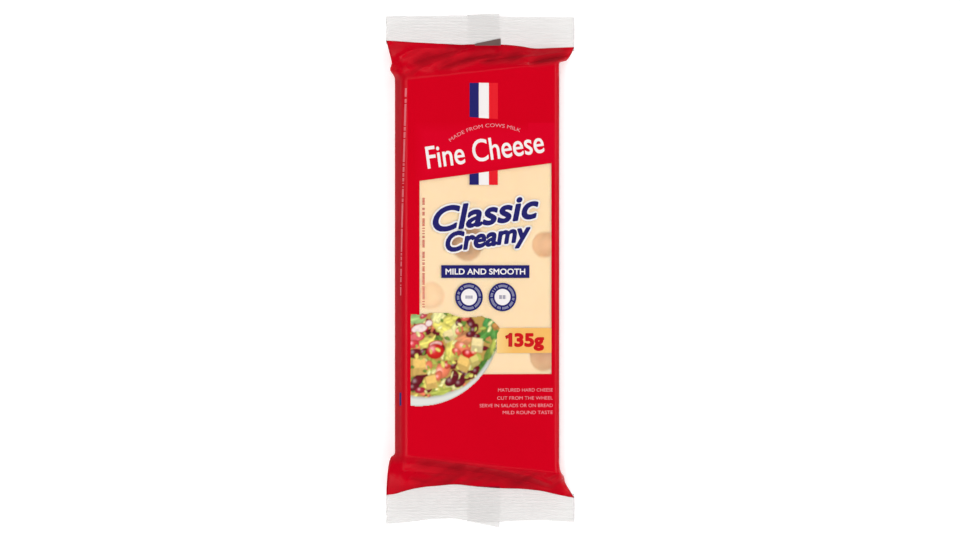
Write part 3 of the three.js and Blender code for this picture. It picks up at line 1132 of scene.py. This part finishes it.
def paint_salad():
    p = Picture()
    shades = (LEAF_DARK, LEAF_MID, LEAF_LIGHT, LEAF_LIGHT, LEAF_PALE, TOMATO_PALE, BEAN)
    scatter_leaves(p, 150, (-31, 9, -55, -18), (1.2, 3.0), (0.8, 1.7), shades, 0.35)
    for x, y, length, width, degrees, colour in (
        (-27.0, -21.0, 4.0, 2.6, 10, (170, 206, 130)), (-18.0, -20.0, 4.4, 3.4, 60, LEAF_PALE),
        (-14.0, -22.4, 4.2, 2.8, 20, LEAF_LIGHT), (-16.5, -25.0, 4.4, 2.6, 150, LEAF_LIGHT),
        (3.4, -22.8, 5.2, 2.6, 65, (86, 160, 84)), (5.6, -28.0, 3.6, 2.0, 100, (96, 156, 76)),
        (1.5, -27.5, 4.6, 2.2, 40, (90, 150, 70)), (-12.4, -30.0, 4.6, 3.0, 120, LEAF_LIGHT),
        (-9.5, -20.6, 3.6, 1.8, 20, LEAF_LIGHT), (-7.5, -30.0, 4.6, 2.8, 30, (226, 150, 104)),
        (3.4, -37.0, 4.8, 2.4, 65, LEAF_DARK), (5.4, -33.0, 3.6, 2.0, 80, LEAF_MID),
        (0.8, -41.2, 4.4, 2.2, 50, (84, 134, 58)), (-13.0, -34.5, 4.6, 2.2, 80, LEAF_LIGHT),
        (-23.5, -31.0, 3.6, 2.2, 20, LEAF_LIGHT), (-27.0, -49.0, 3.4, 2.4, 20, LEAF_DARK),
        (-21.0, -49.6, 5.0, 2.6, 0, LEAF_LIGHT), (-13.5, -48.0, 5.0, 2.8, 10, LEAF_PALE),
        (-17.0, -51.2, 5.0, 2.2, 8, LEAF_MID), (-7.0, -45.4, 3.6, 1.8, 35, LEAF_MID),
        (-10.5, -25.6, 3.4, 2.4, 70, LEAF_PALE), (-22.0, -35.6, 3.0, 2.0, 90, LEAF_MID),
    ):
        p.leaf(x, y, length, width, degrees, colour)
    for x, y, radius, stretch, degrees in (
        (-9.8, -22.4, 1.3, 1.5, 70), (-4.6, -22.6, 1.7, 2.0, 125), (-3.0, -25.4, 1.6, 1.7, 60),
        (-4.6, -27.6, 1.4, 1.6, 10), (-28.6, -35.4, 2.0, 1.9, 10), (-24.4, -34.8, 1.5, 1.5, 30),
        (-8.2, -42.0, 1.9, 1.7, 150), (-11.5, -40.2, 1.7, 1.6, 30), (-5.4, -44.6, 2.0, 2.2, 20),
        (-11.2, -44.2, 1.5, 1.6, 120), (-27.4, -46.8, 2.2, 1.8, 45), (-24.8, -44.0, 1.6, 1.5, 0),
        (-28.8, -49.4, 1.6, 1.7, 20), (-22.0, -49.8, 1.3, 1.8, 60), (-2.0, -28.6, 1.2, 1.5, 20),
        (-12.8, -46.8, 2.1, 1.6, 30), (-9.2, -47.6, 1.7, 1.7, 35), (-2.2, -42.4, 1.4, 1.6, 50),
    ):
        p.ball(x, y, radius, BEAN, stretch, degrees, 0.22)
    for x, y, radius, stretch, degrees, rind, flesh in (
        (-26.4, -25.2, 4.3, 0.5, 12, RADISH, RADISH_FLESH),
        (-27.6, -28.6, 3.8, 0.55, 10, RADISH, (232, 110, 116)),
        (-22.4, -23.0, 1.9, 0.8, 30, (190, 70, 80), RADISH_FLESH),
        (-19.4, -31.8, 3.4, 0.5, 8, TOMATO, (240, 190, 180)),
    ):
        p.slice(x, y, radius, stretch, degrees, rind, flesh)
    for x, y, radius, colour, stretch, degrees in (
        (-19.6, -34.6, 3.4, TOMATO, 1.2, 10), (-8.2, -33.2, 2.4, TOMATO_PALE, 1.7, -30),
        (-5.6, -35.8, 1.9, TOMATO, 1.6, -20), (-16.4, -42.2, 3.2, TOMATO_PALE, 1.3, 60),
        (-14.4, -40.0, 1.6, (206, 70, 56), 1.3, 60), (-10.6, -34.8, 1.6, (220, 90, 70), 1.5, -30),
        (-29.0, -31.6, 1.8, (214, 60, 70), 1.6, 15), (-18.2, -44.6, 1.5, (226, 110, 84), 1.6, 70),
        (-26.0, -50.6, 1.4, (170, 40, 60), 1.8, 10), (-24.6, -20.0, 1.1, (196, 70, 80), 1.8, 30),
        (-9.4, -26.0, 1.6, TOMATO_PALE, 1.4, 50), (-6.8, -20.8, 1.4, (220, 100, 80), 1.5, 20),
        (-22.6, -40.6, 1.8, TOMATO_PALE, 1.4, 70), (-3.4, -34.0, 1.5, TOMATO_PALE, 1.5, 120),
    ):
        p.ball(x, y, radius, colour, stretch, degrees, 0.4)
    for x, y, size, degrees, colour in (
        (-26.4, -40.0, 4.4, 4, CHEESE_CUBE), (-7.6, -39.0, 4.0, -24, CHEESE_CUBE),
        (-14.0, -27.6, 3.2, 20, CHEESE_PALE), (-1.8, -31.2, 3.8, -8, CHEESE_PALE),
        (-21.4, -46.6, 3.6, 12, CHEESE_CUBE),
        (-3.0, -38.0, 2.8, 25, (224, 206, 120)), (6.0, -23.8, 2.0, 30, (214, 150, 84)),
    ):
        p.cube(x, y, size, degrees, colour)
    scatter_leaves(p, 60, (-30, 7, -54, -19), (0.7, 1.6), (0.4, 0.8), shades[:5], 0.4)
    distance = np.hypot(p.x - PLATE_CENTRE[0], p.y - PLATE_CENTRE[1])
    from_dish = np.hypot(p.x - DISH_CENTRE[0], p.y - DISH_CENTRE[1]) - DISH_RADIUS
    low = smoothstep(-31, -41, p.y)
    rim = smoothstep(-0.25, 0.25, from_dish + 0.5 * value_noise(p.x, p.y, 3, 3, 90))
    shadow = smoothstep(1.4, 0.0, from_dish)
    outer = smoothstep(0.9, 0.1, PLATE_RADIUS - distance)
    china = np.asarray(ink(232, 233, 226)[:3]) * (1 - 0.3 * shadow - 0.25 * outer)[..., None]
    p.lay(rim * low, china)
    return p


def softened(grid):
    """The picture with each point mixed with those around it, as print blurs its edges."""
    around = np.pad(grid, ((1, 1), (1, 1), (0, 0)), mode="edge")
    rows = 0.25 * around[:-2] + 0.5 * around[1:-1] + 0.25 * around[2:]
    return 0.25 * rows[:, :-2] + 0.5 * rows[:, 1:-1] + 0.25 * rows[:, 2:]


def picture_shows(x, y):
    """True where the picture is on the film: inside the plate's edge and its straight sides."""
    distance = np.hypot(x - PLATE_CENTRE[0], y - PLATE_CENTRE[1])
    top = PICTURE_TOP - np.interp(x, [-30.1, -21, -15, -8, 0, 6, 9], [0.6, 0.0, -0.6, 1.6, 1.2, 3.6, 8])
    right = np.interp(y, [-45, -36, -30, -24], [4.5, 6.8, 6.6, 8.0])
    jagged = 0.5 * value_noise(x, y, 1.6, 1.6, 91)
    return (distance < PLATE_RADIUS) & (y < top + jagged) & (x < right + jagged)


def make_picture(film, material):
    picture = paint_salad()
    x, y = picture.x, picture.y
    rows, columns = x.shape
    shown = picture_shows(x, y)
    quads = shown[:-1, :-1] & shown[1:, :-1] & shown[:-1, 1:] & shown[1:, 1:]
    used = np.zeros(x.shape, bool)
    for di in (0, 1):
        for dj in (0, 1):
            used[di:rows - 1 + di, dj:columns - 1 + dj] |= quads
    ids = np.full(x.shape, -1)
    ids[used] = np.arange(used.sum())
    points = film.at(x[used], y[used], np.full(int(used.sum()), INK_LIFT * 0.6))
    faces = [
        (ids[r, c], ids[r, c + 1], ids[r + 1, c + 1], ids[r + 1, c])
        for r, c in zip(*np.nonzero(quads))
    ]
    thing = add_object("salad_picture", points, [tuple(map(int, f)) for f in faces], material)
    colours = np.ones((len(points), 4), np.float32)
    colours[:, :3] = softened(np.clip(picture.colour, 0, 1))[used]
    layer = thing.data.color_attributes.new("picture", "FLOAT_COLOR", "POINT")
    layer.data.foreach_set("color", colours.ravel())
    return thing


# ---- Materials ----

FILM_ROUGHNESS = 0.24
FILM_GLOSS = 0.09
FILM_HAZE = 0.05  # how much of the clear window's film shows when it is faced
DULLING = 0.5  # how much rougher the film is on its sides and in its folds
EDGE_SHINE = 0.5  # how opaque the window looks when it is seen edge on
FLOOR_GLOW = 0.25
INK_DEPTH = 0.86  # of an ink's colour where it lies thicker


def floor_material():
    material, _, shader = new_material("floor")
    set_values(shader, Base_Color=(0.93, 0.93, 0.93, 1), Roughness=0.9, Specular_IOR_Level=0.0)
    set_values(shader, Emission_Color=(1, 1, 1, 1), Emission_Strength=FLOOR_GLOW)
    return material


def film_grain(tree, shader):
    bump(tree, shader, noise(tree, 900), 0.00002, 0.6)


def patches(tree, scale):
    """Soft patches where printed ink lies thicker."""
    return ((noise(tree, scale) - 0.45) * 3.0).clamped() * 0.5


def patchy(tree, shader, colour, deeper, scale):
    layers = Layers(tree, colour)
    layers.paint(patches(tree, scale), deeper)
    tree.links.new(layers.colour, shader.inputs["Base Color"])


def attribute(tree, name):
    return Field(tree, add_node(tree, "Attribute", attribute_name=name).outputs["Fac"])


def ink_material(name, colour):
    material, tree, shader = new_material(name)
    deeper = (*(INK_DEPTH * value for value in colour[:3]), 1.0)
    patchy(tree, shader, colour, deeper, 150)
    set_values(shader, Roughness=FILM_ROUGHNESS, Specular_IOR_Level=FILM_GLOSS)
    film_grain(tree, shader)
    return material


def picture_material():
    material, tree, shader = new_material("picture_ink")
    colour = add_node(tree, "VertexColor", layer_name="picture")
    tree.links.new(colour.outputs["Color"], shader.inputs["Base Color"])
    set_values(shader, Roughness=FILM_ROUGHNESS, Specular_IOR_Level=FILM_GLOSS)
    film_grain(tree, shader)
    return material


def banner_edge(x):
    return x * BANNER_SLOPE + BANNER_EDGE_Y


def print_ribbon(sheet):
    """The striped ribbon, which the banner hides in its middle. Returns its mask."""
    x, y = sheet.x, sheet.y
    hidden = (y - banner_edge(x)).minimum(y * -1.0 + BANNER_TOP - x * BANNER_TOP_SLOPE)
    masks = []
    for left, right, colour in zip(RIBBON_X, RIBBON_X[1:], (NAVY, WHITE, STRIPE_RED)):
        band = rectangle(x, y, left, right, RIBBON_BOTTOM, RIBBON_TOP)
        masks.append(inside(band.maximum(hidden)))
        sheet.paint(masks[-1], colour)
    return masks[0].maximum(masks[1]).maximum(masks[2])


def print_badge(sheet, middle, index):
    """A ring of small marks round a white disc. Returns the badge's mask."""
    x, y = sheet.x, sheet.y
    disc = inside(circle(x, y, middle, BADGE_RADIUS))
    sheet.paint(disc, NAVY)
    dx, dy = x - middle[0], y - middle[1]
    radius = (BADGE_RADIUS + BADGE_HOLE) / 2
    along, across = dy.arctan(dx) * radius, circle(x, y, middle, radius)
    box = (-math.pi * radius, math.pi * radius, -0.55, 0.55)
    marks = sheet.small_print(along, across, box, 1.1, 1.0, 0.75, 0.55, index)
    sheet.paint(marks * 0.45, RING_MARKS)
    sheet.paint(inside(circle(x, y, middle, BADGE_HOLE)), WHITE)
    height, cell = BADGE_SIGNS[index]
    marks = sheet.small_print(dx, dy, BADGE_SIGN_BOX, 1.6, height, 0.99, cell, 3.0)
    sheet.paint(marks * 0.6, NAVY)
    return disc


def print_front(sheet):
    """Lays down the front's colours. Returns the mask of the clear window."""
    x, y = sheet.x, sheet.y
    edge = banner_edge(x)
    window = rectangle(x, y, WINDOW_LEFT, WINDOW_RIGHT, WINDOW_BOTTOM, BANNER_TOP)
    clear = inside(window.maximum(y - edge))
    sheet.paint(clear, CLEAR_HAZE)
    banner = rectangle(x, y, WINDOW_LEFT, BANNER_RIGHT, WINDOW_BOTTOM, BANNER_TOP - 4.0)
    sheet.paint(inside(banner.maximum(edge - y), 5.0), RED_BANNER)
    sheet.paint(inside(rectangle(x, y, *BANNER_TIP).maximum(edge - y)), RED_BANNER)
    opaque = print_ribbon(sheet)
    sheet.paint(sheet.block(BAR), NAVY)
    opaque = opaque.maximum(sheet.block(BAR))
    for index, middle in enumerate(BADGES):
        opaque = opaque.maximum(print_badge(sheet, middle, index))
    panel = sheet.block(WEIGHT_PANEL)
    sheet.paint(panel, ORANGE_PALE)
    sheet.paint(panel * ((x - WEIGHT_PANEL[0]) * (1 / PANEL_FADE)).clamped(), ORANGE)
    marks = sheet.small_print(y, x * -1.0, WINDOW_TEXT, 1.6, 1.0, 0.8, 0.55, 5.0)
    sheet.paint(marks, TEXT_ORANGE)
    opaque = opaque.maximum(panel).maximum(marks * 0.6)
    from_left_edge = x * -1.0 + y * EDGE_TEXT_LEAN - EDGE_TEXT_LEFT
    marks = sheet.small_print(y, from_left_edge, EDGE_TEXT, 0.9, 0.75, 0.8, 0.5, 30.0)
    sheet.paint(marks * 0.6, PALE_PINK)
    sheet.paint(sheet.block(EDGE_MARK), NAVY)
    return clear * (opaque * -1.0 + 1.0)


def print_back(sheet, half_girth):
    """Two pale panels of small print on the back, one each side of the fin."""
    across, y = sheet.x.abs() * -1.0 + half_girth, sheet.y
    sheet.paint(inside(rectangle(across, y, *BACK_PANEL)), BACK_PALE)
    for seed, box in enumerate(BACK_TEXTS):
        marks = sheet.small_print(across, y, box, 2.2, 1.0, 0.82, 0.8, 40.0 + seed)
        sheet.paint(marks, BACK_GREY)
    sheet.paint(inside(rectangle(across, y, *BACK_LABEL)), NAVY)
    marks = sheet.small_print(across, y, BACK_LABEL_TEXT, 2.6, 1.1, 0.85, 0.9, 50.0)
    sheet.paint(marks, WHITE)


def film_material(half_girth):
    """The printed film: red ink with painted shade in its folds and on its sides, where it is also
    duller, round a clear window.
    """
    material, tree, shader = new_material("printed_film")
    sheet = Sheet(tree, RED)
    sheet.paint(patches(tree, 26), RED_DEEP)
    sheet.paint(sheet.block(HIDDEN_FOLD, 2.4) * 0.45, DARK_RED)
    middle = half_girth / 2
    box = (middle - SIDE_REACH, middle + SIDE_REACH, -SIDE_END, SIDE_END)
    side = inside(rectangle(sheet.x.abs(), sheet.y, *box), 4.0)
    # painted shade on the side faces: darker red where they would get less light
    sheet.paint(side * 0.45, DARK_RED)
    # painted shade: the film is darker red in its folds, by the fold number
    fold_shade = attribute(tree, "fold_shade")
    sheet.paint(fold_shade, DARK_RED)
    sheet.paint(sheet.block(LOW_MARK, 0.5) * 0.6, LOW_MARK_COLOUR)
    print_back(sheet, half_girth)
    clear = print_front(sheet)
    tree.links.new(sheet.colour, shader.inputs["Base Color"])
    dull = side.maximum((fold_shade * 2.0).clamped()) * DULLING
    tree.links.new((dull + FILM_ROUGHNESS).socket, shader.inputs["Roughness"])
    set_values(shader, Specular_IOR_Level=FILM_GLOSS)
    film_grain(tree, shader)
    edge_on = Field(tree, add_node(tree, "LayerWeight", 0.5).outputs["Facing"])
    shine = edge_on * edge_on * edge_on * edge_on * EDGE_SHINE + FILM_HAZE
    shown = (clear * -1.0 + 1.0).maximum(shine)
    through = add_node(tree, "BsdfTransparent").outputs[0]
    mixed = add_node(tree, "MixShader", shown.socket, through, shader.outputs[0])
    tree.links.new(mixed.outputs[0], tree.nodes["Material Output"].inputs["Surface"])
    return material


def red_film_material():
    """The same film where it shows only its ground colour, as on the fin."""
    material, tree, shader = new_material("fin_film")
    split = add_node(tree, "SeparateXYZ", add_node(tree, "TexCoord").outputs["Object"])
    along = Field(tree, split.outputs[1])
    grooves = ((along * 900).fract() - 0.5).abs()
    bump(tree, shader, grooves, 0.0001, 0.5)
    patchy(tree, shader, RED, RED_DEEP, 26)
    set_values(shader, Roughness=FILM_ROUGHNESS, Specular_IOR_Level=FILM_GLOSS)
    return material


def clear_film_material():
    material, tree, shader = new_material("clear_film")
    set_values(shader, Base_Color=(0.80, 0.785, 0.775, 1), Roughness=0.35, Alpha=0.66)
    bump(tree, shader, noise(tree, 160), 0.00005, 0.6)
    return material


def cheese_material():
    material, tree, shader = new_material("cheese")
    broad = noise(tree, 28, 3.0, 0.55)
    fine = noise(tree, 420, 4.0, 0.65)
    layers = Layers(tree, linear(244, 215, 171))
    layers.paint(((broad - 0.42) * 2.2).clamped() * 0.55, linear(242, 206, 158))
    layers.paint(((fine - 0.5) * 2.0).clamped() * 0.25, linear(250, 230, 196))
    # painted shade in the holes: a darker tan by the hole's number
    layers.paint(attribute(tree, "eye_shade") * 0.85, linear(240, 193, 140))
    tree.links.new(layers.colour, shader.inputs["Base Color"])
    set_values(shader, Roughness=0.5, Subsurface_Weight=0.35, Subsurface_Scale=0.003)
    set_values(shader, Subsurface_Radius=(1.0, 0.6, 0.3))
    bump(tree, shader, fine, 0.00008, 0.5)
    return material


def dark_mark_material():
    material, tree, shader = new_material("eye_mark_ink")
    patchy(tree, shader, linear(98, 76, 72), linear(84, 62, 60), 300)
    set_values(shader, Roughness=0.4)
    film_grain(tree, shader)
    return material


# ---- Assembly ----


def ride(piece):
    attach(piece, "root")


MARK_LEFT, MARK_RIGHT = -1.0, 10.0
MARK_OVERLAP, MARK_START, MARK_RISE = 0.6, 0.2, 2.3  # below the print's end, above it, to the right
MARK_LIFT = 0.35  # above the seal's film


def make_eye_mark(material):
    """The dark registration mark at the print's top edge, seen through the clear film."""
    xs = np.linspace(MARK_LEFT, MARK_RIGHT, 24)
    shares = np.linspace(0, 1, 8)
    low = PRINT_END[1](xs) - MARK_OVERLAP
    high = PRINT_END[1](xs) + np.interp(xs, xs[[0, -1]], (MARK_START, MARK_START + MARK_RISE))
    y = low[None, :] + (high - low)[None, :] * shares[:, None]
    x = np.broadcast_to(xs, y.shape)
    z = SEAL_Z + SEAL_FILM / 2 + MARK_LIFT + 0 * y
    middle = np.stack([x, y, z], axis=2)
    thick = np.array([0, 0, 0.02])
    return thin_solid("eye_mark", middle + thick, middle - thick, material)


def make_sleeve(film):
    """The printed film's tube, with its print's UV map and the amount of painted shade in its folds."""
    inner = film.points - film.normals * FILM_THICKNESS
    material = film_material(film.half_girth)
    sleeve = thin_solid("film_wrap", film.points, inner, material, tube=True)
    flat = np.stack(np.broadcast_arrays(film.girth, film.points[..., 1]), axis=2).reshape(-1, 2)
    ids = np.zeros(len(sleeve.data.loops), int)
    sleeve.data.loops.foreach_get("vertex_index", ids)
    corners = flat[ids % len(flat)].reshape(-1, 4, 2)
    # the last column of faces joins the tube's two edges, so it counts on past the right one
    seam = np.ptp(corners[..., 0], axis=1) > film.half_girth
    corners[..., 0] += (seam[:, None] & (corners[..., 0] < 0)) * 2 * film.half_girth
    layer = sleeve.data.uv_layers.new(name="print")
    layer.data.foreach_set("uv", (corners / UV_MM).astype(np.float32).ravel())
    add_number(sleeve, "fold_shade", np.tile(film.fold_shade.ravel(), 2))
    return sleeve


def print_words(film):
    """Every line of words on the front, each as its own piece."""
    white, navy = ink_material("white_ink", WHITE), ink_material("navy_ink", NAVY)
    red, pink = ink_material("red_ink", WEIGHT_RED), ink_material("pale_ink", PALE_PINK)
    yield lettering("banner_word", "Fine Cheese", BANNER_WORDS, film, white, RISE, bold=0.12)
    for name, text, box in TITLES:
        x, y, width, height = box
        edge = (x, y, width + 2 * TITLE_EDGE, height + 2 * TITLE_EDGE)
        bold = TITLE_BOLD + TITLE_EDGE
        yield lettering(name + "_edge", text, edge, film, white, RISE, bold, TITLE_SHEAR, UNDER_LIFT)
        yield lettering(name, text, box, film, navy, RISE, TITLE_BOLD, TITLE_SHEAR)
    yield lettering("bar_words", "MILD AND SMOOTH", BAR_WORDS, film, white, bold=0.08)
    for name, text, y, width in LINES:
        box = (LINES_RIGHT - width / 2, y, width, LINES_HEIGHT)
        yield lettering(name, text, box, film, pink)
    text = "MADE FROM COWS MILK"
    yield lettering("arch_words", text, ARCH_WORDS, film, pink, RISE, bend=ARCH_RADIUS, detail=3)
    yield lettering("weight", "35g", WEIGHT_WORDS, film, red, bold=0.42, stroke=FIGURE_ONE)


def build():
    make_camera()
    make_floor(floor_material())
    make_world()
    for light in LIGHTS:
        make_light(*light)

    film = Film()
    sleeve = make_sleeve(film)
    ride(sleeve)
    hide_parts("film_sleeve")
    ride(make_fin(film, red_film_material()))

    clear = clear_film_material()
    for name, end in (("top", 1), ("bottom", -1)):
        seal = make_seal(name + "_seal", end, clear)
        ride(seal)
        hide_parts(name + "_end_seal")
        ride(make_fin_end(name + "_seal_fin", end, clear))
    ride(make_eye_mark(dark_mark_material()))

    cheese = make_cheese(cheese_material())
    ride(cheese)
    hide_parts("cheese_block")

    ride(make_picture(film, picture_material()))
    for words in print_words(film):
        ride(words)


build()
bpy.context.scene.view_settings.view_transform = "Standard"
